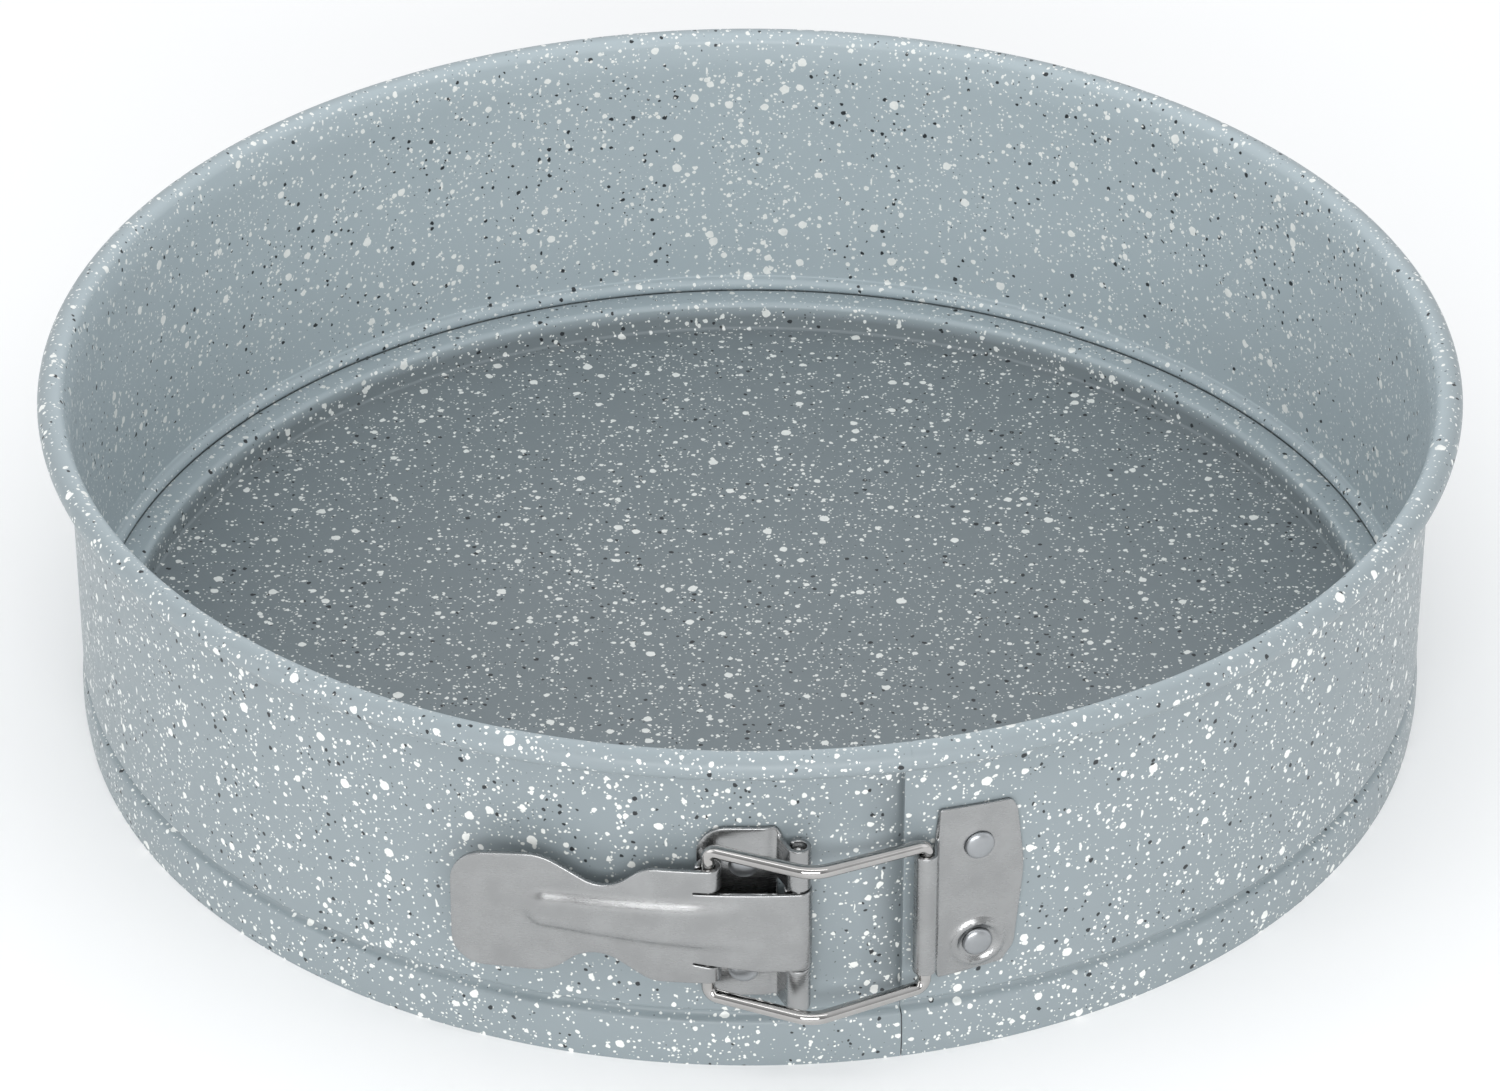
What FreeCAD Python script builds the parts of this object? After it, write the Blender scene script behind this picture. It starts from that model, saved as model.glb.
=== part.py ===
import FreeCAD, Part
import math
import os

# Springform cake pan, 26 cm: a drop-in base disc and a springy steel ring with an over-centre clasp.
# Millimetres, +Z up.  The pan's axis is the Z axis and the clasp faces -Y.
# Azimuths are degrees round the axis from -Y (the clasp side) toward +X.
# z = 0 is the underside of the base's floor; the ring's lower edge stands 2.9 mm below that.

# ---- ring band -------------------------------------------------------------------------------
FOOT_Z = -2.9            # lower edge of the ring, what the pan stands on
TOTAL_H = 70.0           # lower edge to the top of the rolled rim
RIM_R = 136.0            # outside of the rolled rim
WALL_R = 130.25          # middle of the wall sheet
SHEET = 0.5
ROLL_R = 2.6             # outside radius of the rolled rim
BEAD_R = 128.55          # middle of the sheet at the inside of the bead
SEAM_AZ = 12.0           # where the two ends of the band lap
FLAP_AZ = 16.0           # tip of the inner flap
FLAP_IN = 0.85           # how far the flap is set in under the outer end
FLAP_Z = (12.5, 58.5)    # the flap's lower and upper edge
BACK_AZ = SEAM_AZ + 180.0
BACK_HALF = 25.0         # half-width of the fixed back part of the band
END_GAP = 0.05           # degrees, half the gap between neighbouring parts of the band

# ---- base disc -------------------------------------------------------------------------------
FLANGE_R = 128.8
FLANGE_TOP = 6.7
FLOOR_T = 0.8
STEP_R = 124.2           # where the flange turns down

# ---- clasp -----------------------------------------------------------------------------------
PIN_X, PIN_PR = 8.5, 134.2        # hinge pin: x, and distance from the pan's axis
LEG_X, LEG_PR = -7.4, 134.35      # bail leg held by the lever
CATCH_X, CATCH_PR = 31.0, 134.6   # bail leg held by the catch
APEX_X, APEX_Y = 11.0, -142.0     # crest of the bail's bend over the hinge
BAIL_LOW = (15.8, 15.9, 15.2)     # lower side of the bail at the leg, the crest and the catch
BAIL_HIGH = (47.2, 47.6, 46.0)    # its upper side, which dips toward the catch
PIN_R, WIRE_R = 1.4, 1.25
PLATE_T, PLATE_PR = 0.8, 130.95   # bracket and catch sheet, and its middle radius on the wall
LEVER_T, LEVER_PR = 1.0, 136.2
RUN = 0.1                         # radial clearance of the running fits
TONGUE_Z = (22.3, 39.0)
KNUCKLES_Z = ((13.2, 22.0), (39.3, 48.0))
SHOULDER_Z = ((19.7, 22.0), (39.3, 43.9))
BRACKET_Z = (13.7, 50.0)
CURL_Z = (18.8, 44.2)             # the catch's curl round the bail
RIVETS = {"bracket_rivet_upper": (-1.1, 42.3), "bracket_rivet_lower": (-1.1, 19.5),
          "catch_rivet_upper": (40.4, 41.8), "catch_rivet_lower": (40.4, 20.7)}
RIVET_R, RIVET_HEAD_R, RIVET_HEAD_H = 1.3, 2.65, 1.2

UP = FreeCAD.Vector(0, 0, 1)
ORIGIN = FreeCAD.Vector(0, 0, 0)


def on_circle(az, r):
    """Plan point at an azimuth and a distance from the pan's axis."""
    a = math.radians(az)
    return (r * math.sin(a), -r * math.cos(a))


def at_x(x, r):
    """Plan point on the clasp side with this x at distance r from the axis."""
    return (x, -math.sqrt(r * r - x * x))


def azimuth(p):
    return math.degrees(math.atan2(p[0], -p[1]))


def normal(heading):
    """Unit vector to the left of a heading in degrees."""
    a = math.radians(heading)
    return (-math.sin(a), math.cos(a))


# ---- bent strips: a path of straights and tangent bends, given a thickness --------------------
def walk(start, heading, moves):
    """Pieces of a tangent path.  A move is ("L", length) or ("A", radius, degrees), left positive."""
    x, y = start
    pieces = []
    for move in moves:
        n = normal(heading)
        if move[0] == "L":
            end = (x + move[1] * n[1], y - move[1] * n[0])
            pieces.append(("L", (x, y), end, heading))
            x, y = end
        else:
            radius, turn = move[1], move[2]
            side = 1.0 if turn > 0 else -1.0
            centre = (x + side * radius * n[0], y + side * radius * n[1])
            pieces.append(("A", centre, radius, side, heading, turn))
            heading += turn
            n = normal(heading)
            x, y = centre[0] - side * radius * n[0], centre[1] - side * radius * n[1]
    return pieces, (x, y), heading


def offset_edge(piece, shift, place):
    """The piece moved to its left by shift, as an edge; place turns plan numbers into a vector."""
    if piece[0] == "L":
        n = normal(piece[3])
        ends = [place(p[0] + shift * n[0], p[1] + shift * n[1]) for p in piece[1:3]]
        return Part.makeLine(*ends), ends
    centre, radius, side, heading, turn = piece[1:]
    r = radius - side * shift
    pts = []
    for part in (0.0, 0.5, 1.0):
        n = normal(heading + part * turn)
        pts.append(place(centre[0] - side * r * n[0], centre[1] - side * r * n[1]))
    return Part.Arc(*pts).toShape(), [pts[0], pts[2]]


def strip(pieces, left, right, place):
    """Face of a bent sheet lying between two offsets of its path."""
    first = [offset_edge(piece, left, place) for piece in pieces]
    second = [offset_edge(piece, -right, place) for piece in pieces]
    edges = [e for e, _ in first] + [e for e, _ in second]
    edges.append(Part.makeLine(first[0][1][0], second[0][1][0]))
    edges.append(Part.makeLine(first[-1][1][1], second[-1][1][1]))
    return Part.Face(Part.Wire(Part.__sortEdges__(edges)))


def in_plan(x, y):
    return FreeCAD.Vector(x, y, 0)


def in_section(r, z):
    return FreeCAD.Vector(r, 0, z)


def raise_strip(pieces, thickness, z_range):
    """Sheet standing on edge, from z0 to z1."""
    face = strip(pieces, thickness / 2, thickness / 2, in_plan)
    face.translate(FreeCAD.Vector(0, 0, z_range[0]))
    return face.extrude(FreeCAD.Vector(0, 0, z_range[1] - z_range[0]))


def sweep_section(face, az0, az1):
    """Turn an XZ section about the pan's axis between two azimuths."""
    turned = face.copy()
    turned.rotate(ORIGIN, UP, az0 - 90.0)
    return turned.revolve(ORIGIN, UP, az1 - az0)


def outline_prism(points):
    """Prism along Y over a rounded outline; each point is (x, z, corner radius)."""
    edges, count = [], len(points)
    joints = []
    for i, (x, z, radius) in enumerate(points):
        p = FreeCAD.Vector(x, -160, z)
        before = FreeCAD.Vector(points[i - 1][0], -160, points[i - 1][1]) - p
        after_pt = points[(i + 1) % count]
        after = FreeCAD.Vector(after_pt[0], -160, after_pt[1]) - p
        before.normalize()
        after.normalize()
        half = before.getAngle(after) / 2
        if radius <= 0 or abs(half - math.pi / 2) < 1e-3:
            joints.append((p, p))
            continue
        reach = radius / math.tan(half)
        middle = (before + after)
        middle.normalize()
        crown = p + middle * (radius / math.sin(half) - radius)
        start, end = p + before * reach, p + after * reach
        edges.append(Part.Arc(start, crown, end).toShape())
        joints.append((start, end))
    for i in range(count):
        a, b = joints[i][1], joints[(i + 1) % count][0]
        if (b - a).Length > 1e-6:
            edges.append(Part.makeLine(a, b))
    face = Part.Face(Part.Wire(Part.__sortEdges__(edges)))
    return face.extrude(FreeCAD.Vector(0, 60, 0))


# ---- ring band -------------------------------------------------------------------------------
def band_path():
    """Centre path of the wall sheet: skirt, holding bead, wall, and the rim rolled outward."""
    start = (WALL_R + 0.05, FOOT_Z)
    moves = [("A", 25.9, 20.0),                      # skirt, bulging round the base's edge
             ("A", 0.7, 62.0), ("L", 0.0), ("A", 1.2, -144.0), ("L", 0.0), ("A", 0.7, 72.0)]
    # straights that bring the bead in to its depth and the wall back out
    _, low, heading = walk(start, 80.0, moves[:2])
    half_turn = 72.0
    need_in = low[0] - BEAD_R - 1.2 * (1 - math.cos(math.radians(half_turn)))
    moves[2] = ("L", need_in / math.sin(math.radians(half_turn)))
    out = (WALL_R - BEAD_R) - (1.2 + 0.7) * (1 - math.cos(math.radians(half_turn)))
    moves[4] = ("L", out / math.sin(math.radians(half_turn)))
    _, top, _ = walk(start, 80.0, moves)
    roll_z = FOOT_Z + TOTAL_H - ROLL_R
    roll_mid = ROLL_R - SHEET / 2
    flare, flare_r = 12.0, 15.0
    c, s = math.cos(math.radians(flare)), math.sin(math.radians(flare))
    roll_start = (RIM_R - ROLL_R - roll_mid * c, roll_z + roll_mid * s)
    lean = (roll_start[0] - WALL_R - flare_r * (1 - c)) / s
    flare_z = roll_start[1] - lean * c - flare_r * s
    moves += [("L", flare_z - top[1]), ("A", flare_r, -flare), ("L", lean),
              ("A", roll_mid, -303.0)]
    return walk(start, 80.0, moves)[0]


def make_ring():
    band = strip(band_path(), SHEET / 2, SHEET / 2, in_section)
    back = sweep_section(band, BACK_AZ - BACK_HALF + END_GAP, BACK_AZ + BACK_HALF - END_GAP)
    right = sweep_section(band, SEAM_AZ + END_GAP, BACK_AZ - BACK_HALF - END_GAP)
    # the left end steps in by the sheet and a little more, above the bead and below the rim,
    # then runs on as a flap inside the lap
    az0, az1, az2 = BACK_AZ + BACK_HALF + END_GAP - 360.0, SEAM_AZ - 0.7, SEAM_AZ - END_GAP
    middle = WALL_R - FLAP_IN
    step = wall_patch(middle - SHEET / 2, WALL_R - 0.05)
    flap = wall_patch(middle - SHEET / 2, middle + SHEET / 2)
    left = sweep_section(band, az0, az2).fuse([sweep_section(step, az1, az2),
                                               sweep_section(flap, az2, FLAP_AZ)])
    return back, left, right


def wall_patch(r0, r1):
    """Section of a plain piece of wall between the bead and the rim."""
    z0, z1 = FLAP_Z
    corners = [in_section(*c) for c in ((r0, z0), (r1, z0), (r1, z1), (r0, z1), (r0, z0))]
    return Part.Face(Part.makePolygon(corners))


def make_base():
    flat = FLANGE_R - STEP_R
    moves = [("L", flat - 0.5), ("A", 0.9, 84.0), ("L", 4.35), ("A", 1.1, -84.0)]
    start = (FLANGE_R, FLANGE_TOP - FLOOR_T / 2)
    _, end, _ = walk(start, 180.0, moves)
    drop = (end[1] - FLOOR_T / 2) / math.sin(math.radians(84.0))
    moves[2] = ("L", moves[2][1] + drop)
    _, end, _ = walk(start, 180.0, moves)
    moves.append(("L", end[0] - 5.0))
    disc = strip(walk(start, 180.0, moves)[0], FLOOR_T / 2, FLOOR_T / 2, in_section)
    tray = disc.revolve(ORIGIN, UP, 360.0)
    return tray.fuse(Part.makeCylinder(5.0, FLOOR_T)).removeSplitter()


# ---- clasp -----------------------------------------------------------------------------------
def lead_in(target, heading, bend, side):
    """Bend off the wall-hugging sheet onto a line through target; side +1 bends left.
    Gives the azimuth where the bend starts, and the straight's length up to target."""
    n = normal(heading)
    u = (n[1], -n[0])
    n = (side * n[0], side * n[1])
    base = (target[0] + bend * n[0], target[1] + bend * n[1])
    reach = PLATE_PR + bend
    b = base[0] * u[0] + base[1] * u[1]
    c = base[0] ** 2 + base[1] ** 2 - reach ** 2
    root = math.sqrt(b * b - c)
    s = min((-b - root, -b + root), key=abs)
    knee = (base[0] + s * u[0], base[1] + s * u[1])
    return azimuth(knee), -s


def make_bracket():
    pin = at_x(PIN_X, PIN_PR)
    curl = PIN_R + 0.05 + PLATE_T / 2
    heading, bend = -65.0, 1.0
    n = normal(heading)
    target = (pin[0] - curl * n[0], pin[1] - curl * n[1])
    az_bend, straight = lead_in(target, heading, bend, -1)
    az0 = math.degrees(math.asin(-9.5 / PLATE_PR))
    start = on_circle(az0, PLATE_PR)
    flat = [("A", PLATE_PR, az_bend - az0)]
    hook = flat + [("A", bend, heading - az_bend), ("L", straight), ("A", curl, 292.0)]
    plate = raise_strip(walk(start, az0, flat)[0], PLATE_T, BRACKET_Z)
    x0, x1 = -9.4, 12.0
    (z0, z1) = BRACKET_Z
    plate = plate.common(outline_prism([(x0, z0, 4.5), (x1, z0, 0), (x1, z1, 0), (x0, z1, 5.5)]))
    pieces = walk(start, az0, hook)[0][1:]
    parts = [raise_strip(pieces, PLATE_T, zr) for zr in KNUCKLES_Z]
    # the knuckles grow out of the plate by a shared edge strip
    return plate.fuse(parts).removeSplitter()


def make_catch():
    leg = at_x(CATCH_X, CATCH_PR)
    curl = WIRE_R + RUN + PLATE_T / 2
    heading, bend = 268.0, 1.0
    n = normal(heading)
    target = (leg[0] + curl * n[0], leg[1] + curl * n[1])
    az_bend, straight = lead_in(target, heading, bend, 1)
    az0 = 22.4
    start = on_circle(az0, PLATE_PR)
    flat = [("A", PLATE_PR, az_bend - az0)]
    hook = flat + [("A", bend, heading - (az_bend + 180.0)), ("L", straight), ("A", curl, -300.0)]
    plate = raise_strip(walk(start, az0 + 180.0, flat)[0], PLATE_T, (12.0, 52.0))
    plate = plate.common(outline_prism([
        (31.0, 14.0, 0), (44.9, 15.3, 1.2), (47.0, 18.5, 3.0), (48.6, 35.5, 30.0), (47.2, 48.0, 3.0),
        (46.2, 50.3, 1.5), (31.0, 50.5, 0)]))
    pieces = walk(start, az0 + 180.0, hook)[0][1:]
    return plate.fuse(raise_strip(pieces, PLATE_T, CURL_Z)).removeSplitter()


def lever_path(centre, curl, sweep, moves_after):
    """Path from inside a curl round centre out along the lever's body, toward the thumb tab."""
    heading = 180.0 + azimuth(centre) + sweep
    n = normal(heading)
    start = (centre[0] + curl * n[0], centre[1] + curl * n[1])
    return walk(start, heading, [("A", curl, -sweep)] + moves_after)[0]


def make_lever():
    pin, leg = at_x(PIN_X, PIN_PR), at_x(LEG_X, LEG_PR)
    pin_curl = PIN_R + RUN + LEVER_T / 2
    leg_curl = WIRE_R + RUN + LEVER_T / 2
    tab = [("A", 60.0, 3.5), ("L", 18.5)]
    z_all = (10.0, 55.0)
    body_path = lever_path(pin, pin_curl, 290.0,
                           [("A", LEVER_PR, -(azimuth(pin) + 13.0))] + tab)
    split = -12.0
    z0, z1 = TONGUE_Z
    outline = [(-52.9, 19.4, 6.0), (-52.9, 43.3, 6.5), (-37.0, 44.6, 9.0), (-25.4, 38.1, 7.0),
               (-18.6, 43.9, 6.0), (split, 43.9, 0), (split, z1, 0), (14.0, z1, 0), (14.0, z0, 0),
               (2.0, z0, 4.0), (split, 24.6, 0), (split, 19.7, 0), (-17.4, 19.7, 6.0),
               (-27.4, 26.4, 7.0), (-35.5, 19.4, 9.0)]
    body = raise_strip(body_path, LEVER_T, z_all).common(outline_prism(outline))
    side_path = lever_path(leg, leg_curl, 285.0, [("A", LEVER_PR, -9.0)])
    for zr in ((SHOULDER_Z[0][0], 24.2), (39.3, SHOULDER_Z[1][1])):
        arm = raise_strip(side_path, LEVER_T, zr)
        arm = arm.common(outline_prism([(split, zr[0], 0), (0.0, zr[0], 0), (0.0, zr[1], 0),
                                        (split, zr[1], 0)]))
        body = body.fuse(arm)
    return body.fuse(raised_rib(body_path)).removeSplitter()


def raised_rib(path):
    """Raised part of the rib: the lever's sheet thickened outward, inside a long rounded outline."""
    straight = path[1:]
    face = strip(straight, LEVER_T / 2 + 0.9, -LEVER_T / 4, in_plan)
    face.translate(FreeCAD.Vector(0, 0, 10))
    block = face.extrude(FreeCAD.Vector(0, 0, 40))
    return block.common(outline_prism([
        (-41.0, 28.6, 4.4), (-41.0, 37.8, 4.4), (2.0, 36.0, 3.5), (2.0, 28.2, 3.5)]))


def make_bail():
    """One bent wire.  Its two ends stop at the mouths of the catch's curl, which hides their butt."""
    leg, catch = at_x(LEG_X, LEG_PR), at_x(CATCH_X, CATCH_PR)
    corner = 1.9
    low, high = BAIL_LOW, BAIL_HIGH
    pts = [catch + (high[2], 0), catch + (low[2], corner), (APEX_X, APEX_Y, low[1], 6.0),
           leg + (low[0], 1.9), leg + (high[0], 1.9), (APEX_X, APEX_Y, high[1], 6.0),
           catch + (high[2], corner), catch + (low[2], 0)]
    last, rods = FreeCAD.Vector(*pts[0][:3]), []
    for i in range(1, len(pts) - 1):
        p, bend = FreeCAD.Vector(*pts[i][:3]), pts[i][3]
        back = FreeCAD.Vector(*pts[i - 1][:3]) - p
        ahead = FreeCAD.Vector(*pts[i + 1][:3]) - p
        back.normalize()
        ahead.normalize()
        half = back.getAngle(ahead) / 2
        reach = bend / math.tan(half)
        middle = back + ahead
        middle.normalize()
        start, centre = p + back * reach, p + middle * (bend / math.sin(half))
        if i > 1:
            rods.append(Part.makeCylinder(WIRE_R, (start - last).Length, last, start - last))
        disc = Part.Face(Part.Wire(Part.makeCircle(WIRE_R, start, back)))
        rods.append(disc.revolve(centre, ahead.cross(back), 180.0 - math.degrees(2 * half)))
        last = p + ahead * reach
    return rods[0].fuse(rods[1:], 1e-4).removeSplitter()


def rivet_axis(name):
    x, z = RIVETS[name]
    p = at_x(x, PLATE_PR)
    out = FreeCAD.Vector(p[0], p[1], 0)
    out.normalize()
    return out, z


def make_rivet(name):
    """Domed head on the plate, shank through plate and wall, flat head inside the pan."""
    out, z = rivet_axis(name)
    face_r = PLATE_PR + PLATE_T / 2
    inner_r = WALL_R - SHEET / 2 - 0.03

    def at(r):
        return FreeCAD.Vector(out.x * r, out.y * r, z)

    shank = Part.makeCylinder(RIVET_R, face_r - inner_r + 0.5, at(inner_r - 0.3), out)
    inner = Part.makeCylinder(2.3, 0.6, at(inner_r - 0.6), out)
    ball_r = (RIVET_HEAD_R ** 2 + RIVET_HEAD_H ** 2) / (2 * RIVET_HEAD_H)
    ball = Part.makeSphere(ball_r, at(face_r + RIVET_HEAD_H - ball_r))
    cap = ball.common(Part.makeCylinder(RIVET_HEAD_R + 1, 3, at(face_r + 0.002), out))
    return shank.fuse([inner, cap]).removeSplitter()


def drill(shape, names):
    for name in names:
        out, z = rivet_axis(name)
        start = FreeCAD.Vector(out.x * 126, out.y * 126, z)
        shape = shape.cut(Part.makeCylinder(RIVET_R + 0.04, 10, start, out))
    return shape


def main():
    back, left, right = make_ring()
    on_left = [n for n in RIVETS if n.startswith("bracket")]
    on_right = [n for n in RIVETS if n.startswith("catch")]
    pin = at_x(PIN_X, PIN_PR)
    z0, z1 = KNUCKLES_Z[0][0] + 1.2, KNUCKLES_Z[1][1] - 1.2
    nodes = {
        "base_disc": make_base(),
        "ring_back": back,
        "ring_left": drill(left, on_left),
        "ring_right": drill(right, on_right),
        "lever_bracket": drill(make_bracket(), on_left),
        "hinge_pin": Part.makeCylinder(PIN_R, z1 - z0, FreeCAD.Vector(pin[0], pin[1], z0)),
        "lever": make_lever(),
        "bail": make_bail(),
        "catch_plate": drill(make_catch(), on_right),
    }
    for name in RIVETS:
        nodes[name] = make_rivet(name)
    os.makedirs("parts", exist_ok=True)
    for name, shape in nodes.items():
        if shape.ShapeType == "Compound" and len(shape.Solids) == 1:
            shape = shape.Solids[0]
        shape.exportStep("parts/" + name + ".step")
        print(name, shape.ShapeType, len(shape.Solids), shape.isValid(), round(shape.Volume, 1))


main()
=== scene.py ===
import math

import bmesh
import bpy
import numpy as np
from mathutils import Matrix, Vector
from mathutils.geometry import delaunay_2d_cdt


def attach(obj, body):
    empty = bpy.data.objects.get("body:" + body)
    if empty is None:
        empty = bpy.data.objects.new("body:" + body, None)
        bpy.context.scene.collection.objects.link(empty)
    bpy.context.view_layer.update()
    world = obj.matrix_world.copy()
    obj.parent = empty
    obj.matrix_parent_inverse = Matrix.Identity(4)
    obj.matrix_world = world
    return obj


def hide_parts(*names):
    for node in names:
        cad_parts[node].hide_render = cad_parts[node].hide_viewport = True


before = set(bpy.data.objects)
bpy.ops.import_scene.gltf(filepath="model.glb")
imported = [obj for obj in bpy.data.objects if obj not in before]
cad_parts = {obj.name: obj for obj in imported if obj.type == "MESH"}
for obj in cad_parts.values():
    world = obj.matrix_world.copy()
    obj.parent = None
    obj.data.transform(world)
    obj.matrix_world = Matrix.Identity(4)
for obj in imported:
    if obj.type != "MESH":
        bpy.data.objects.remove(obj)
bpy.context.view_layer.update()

# Millimetres throughout the shapes; meshes are scaled to metres as they are made.
# The clasp faces -Y, azimuths run from -Y toward +X, z = 0 is the underside of the base's floor.
MM = 0.001
FOOT_Z, TOTAL_H, RIM_R, WALL_R = -2.9, 70.0, 136.0, 130.25
SHEET, ROLL_R, BEAD_R = 0.5, 2.6, 128.55
SEAM_AZ, FLAP_AZ, GAP, FOOT_GAP = 12.0, 16.0, 0.004, 0.05      # azimuths and half gaps, in degrees
FLAP_Z = (12.5, 58.5)
SINK, SINK_BACK, SINK_AZ = 1.30, 0.45, 2.9      # the left end's joggle: depths, degrees it takes
BACK_AZ, BACK_HALF = 192.0, 25.0
FLANGE_R, FLANGE_TOP, FLOOR_T, STEP_R = 128.8, 6.7, 0.8, 124.2
PIN, LEG, CATCH = (8.5, 134.2), (-7.4, 134.35), (31.0, 134.6)    # x, distance from the axis
APEX = (11.0, -142.0)
BAIL_LOW, BAIL_HIGH = (15.8, 15.9, 15.2), (47.2, 47.6, 46.0)    # at the leg, the crest, the catch
CREST_BEND, CORNER_BEND = 6.0, 1.9
PIN_R, WIRE_R = 1.4, 1.25
PLATE_T, PLATE_PR = 0.8, 130.95
LEVER_T, LEVER_PR = 1.0, 136.2
RUN = 0.1
RIVETS = {"bracket_rivet_upper": (-1.1, 42.3), "bracket_rivet_lower": (-1.1, 19.5),
          "catch_rivet_upper": (40.4, 41.8), "catch_rivet_lower": (40.4, 20.7)}


# ---- plane geometry ---------------------------------------------------------------------------
def on_circle(az, r):
    """Point at an azimuth and a distance from the pan's axis."""
    a = math.radians(az)
    return (r * math.sin(a), -r * math.cos(a))


def at_x(x, r):
    """Point on the clasp's side at x and a distance from the pan's axis."""
    return (x, -math.sqrt(r * r - x * x))


def azimuth(p):
    return math.degrees(math.atan2(p[0], -p[1]))


def smooth(t):
    """Soft step from 0 to 1 as t goes from 0 to 1."""
    t = min(1.0, max(0.0, t))
    return t * t * (3 - 2 * t)


class Path:
    """Tangent path of straights ("L", length) and bends ("A", radius, degrees left)."""

    def __init__(self, start, heading, moves):
        self.runs, self.length = [], 0.0
        x, y = start
        for move in moves:
            turn = move[2] if move[0] == "A" else 0.0
            size = abs(move[1] * math.radians(turn)) if turn else move[1]
            self.runs.append((self.length, size, x, y, heading, turn))
            self.length += size
            x, y = self.at(self.length)
            heading += turn
        self.end, self.heading = (x, y), heading

    def at(self, s, left=0.0):
        """Point at length s, moved to the left of the path."""
        run = self.runs[0]
        for candidate in self.runs:
            if candidate[0] <= s + 1e-9:
                run = candidate
        s0, size, x, y, heading, turn = run
        t = s - s0
        h = math.radians(heading)
        if not turn:
            px, py = x + t * math.cos(h), y + t * math.sin(h)
            return (px - left * math.sin(h), py + left * math.cos(h))
        radius = size / math.radians(turn)
        cx, cy = x - radius * math.sin(h), y + radius * math.cos(h)
        a = h + math.radians(turn) * t / size
        reach = radius - left
        return (cx + reach * math.sin(a), cy - reach * math.cos(a))

    def stations(self, arc_step=9.0, line_step=3.0):
        """Lengths that follow the bends finely."""
        out = [0.0]
        for s0, size, _, _, _, turn in self.runs:
            count = max(1, math.ceil(abs(turn) / arc_step if turn else size / line_step))
            out += [s0 + size * (i + 1) / count for i in range(count)]
        return out

    def where_x(self, x, lo, hi):
        """Length between lo and hi at which the path crosses x."""
        rising = self.at(hi)[0] > self.at(lo)[0]
        for _ in range(50):
            mid = (lo + hi) / 2
            if (self.at(mid)[0] < x) == rising:
                lo = mid
            else:
                hi = mid
        return (lo + hi) / 2


def rounded(corners, step=0.5):
    """Closed outline through rounded corners (x, y, radius), sampled evenly."""
    pts, n = [], len(corners)
    for i, (x, y, radius) in enumerate(corners):
        p = Vector((x, y))
        back = (Vector(corners[i - 1][:2]) - p).normalized()
        ahead = (Vector(corners[(i + 1) % n][:2]) - p).normalized()
        half = back.angle(ahead) / 2
        if radius <= 0 or abs(half - math.pi / 2) < 1e-3:
            pts.append(p)
            continue
        centre = p + (back + ahead).normalized() * (radius / math.sin(half))
        a0 = p + back * (radius / math.tan(half)) - centre
        a1 = p + ahead * (radius / math.tan(half)) - centre
        sweep = a0.angle_signed(a1)
        count = max(3, math.ceil(abs(sweep) * radius / step))
        for k in range(count + 1):
            a = -sweep * k / count
            c, s = math.cos(a), math.sin(a)
            pts.append(centre + Vector((a0.x * c - a0.y * s, a0.x * s + a0.y * c)))
    out = []
    for i, p in enumerate(pts):
        q = pts[(i + 1) % len(pts)]
        gap = (q - p).length
        if gap < 1e-4:
            continue
        count = max(1, round(gap / step))
        out += [p.lerp(q, k / count) for k in range(count)]
    return out


# ---- meshes -----------------------------------------------------------------------------------
def add_mesh(name, verts, faces, material, sharp=50.0):
    mesh = bpy.data.meshes.new(name)
    mesh.from_pydata([[c * MM for c in v] for v in verts], [], faces)
    mesh.validate()
    shape = bmesh.new()
    shape.from_mesh(mesh)
    bmesh.ops.recalc_face_normals(shape, faces=shape.faces)
    shape.to_mesh(mesh)
    shape.free()
    mesh.shade_smooth()
    mesh.set_sharp_from_angle(angle=math.radians(sharp))
    mesh.materials.append(material)
    obj = bpy.data.objects.new(name, mesh)
    bpy.context.collection.objects.link(obj)
    return obj


def inset(loop, distance):
    """The closed outline moved into its own area; loop runs anticlockwise."""
    out, n = [], len(loop)
    for i, p in enumerate(loop):
        d = (loop[(i + 1) % n] - loop[i - 1]).normalized()
        out.append(p + Vector((-d.y, d.x)) * distance)
    return out


def inside(loop_array, pts):
    """Which points lie in the outline."""
    x, y = pts[:, 0][:, None], pts[:, 1][:, None]
    a, b = loop_array, np.roll(loop_array, -1, 0)
    crosses = (a[:, 1] > y) != (b[:, 1] > y)
    with np.errstate(divide="ignore", invalid="ignore"):
        at = a[:, 0] + (y - a[:, 1]) * (b[:, 0] - a[:, 0]) / (b[:, 1] - a[:, 1])
    return (crosses & (x < at)).sum(1) % 2 == 1


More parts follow.
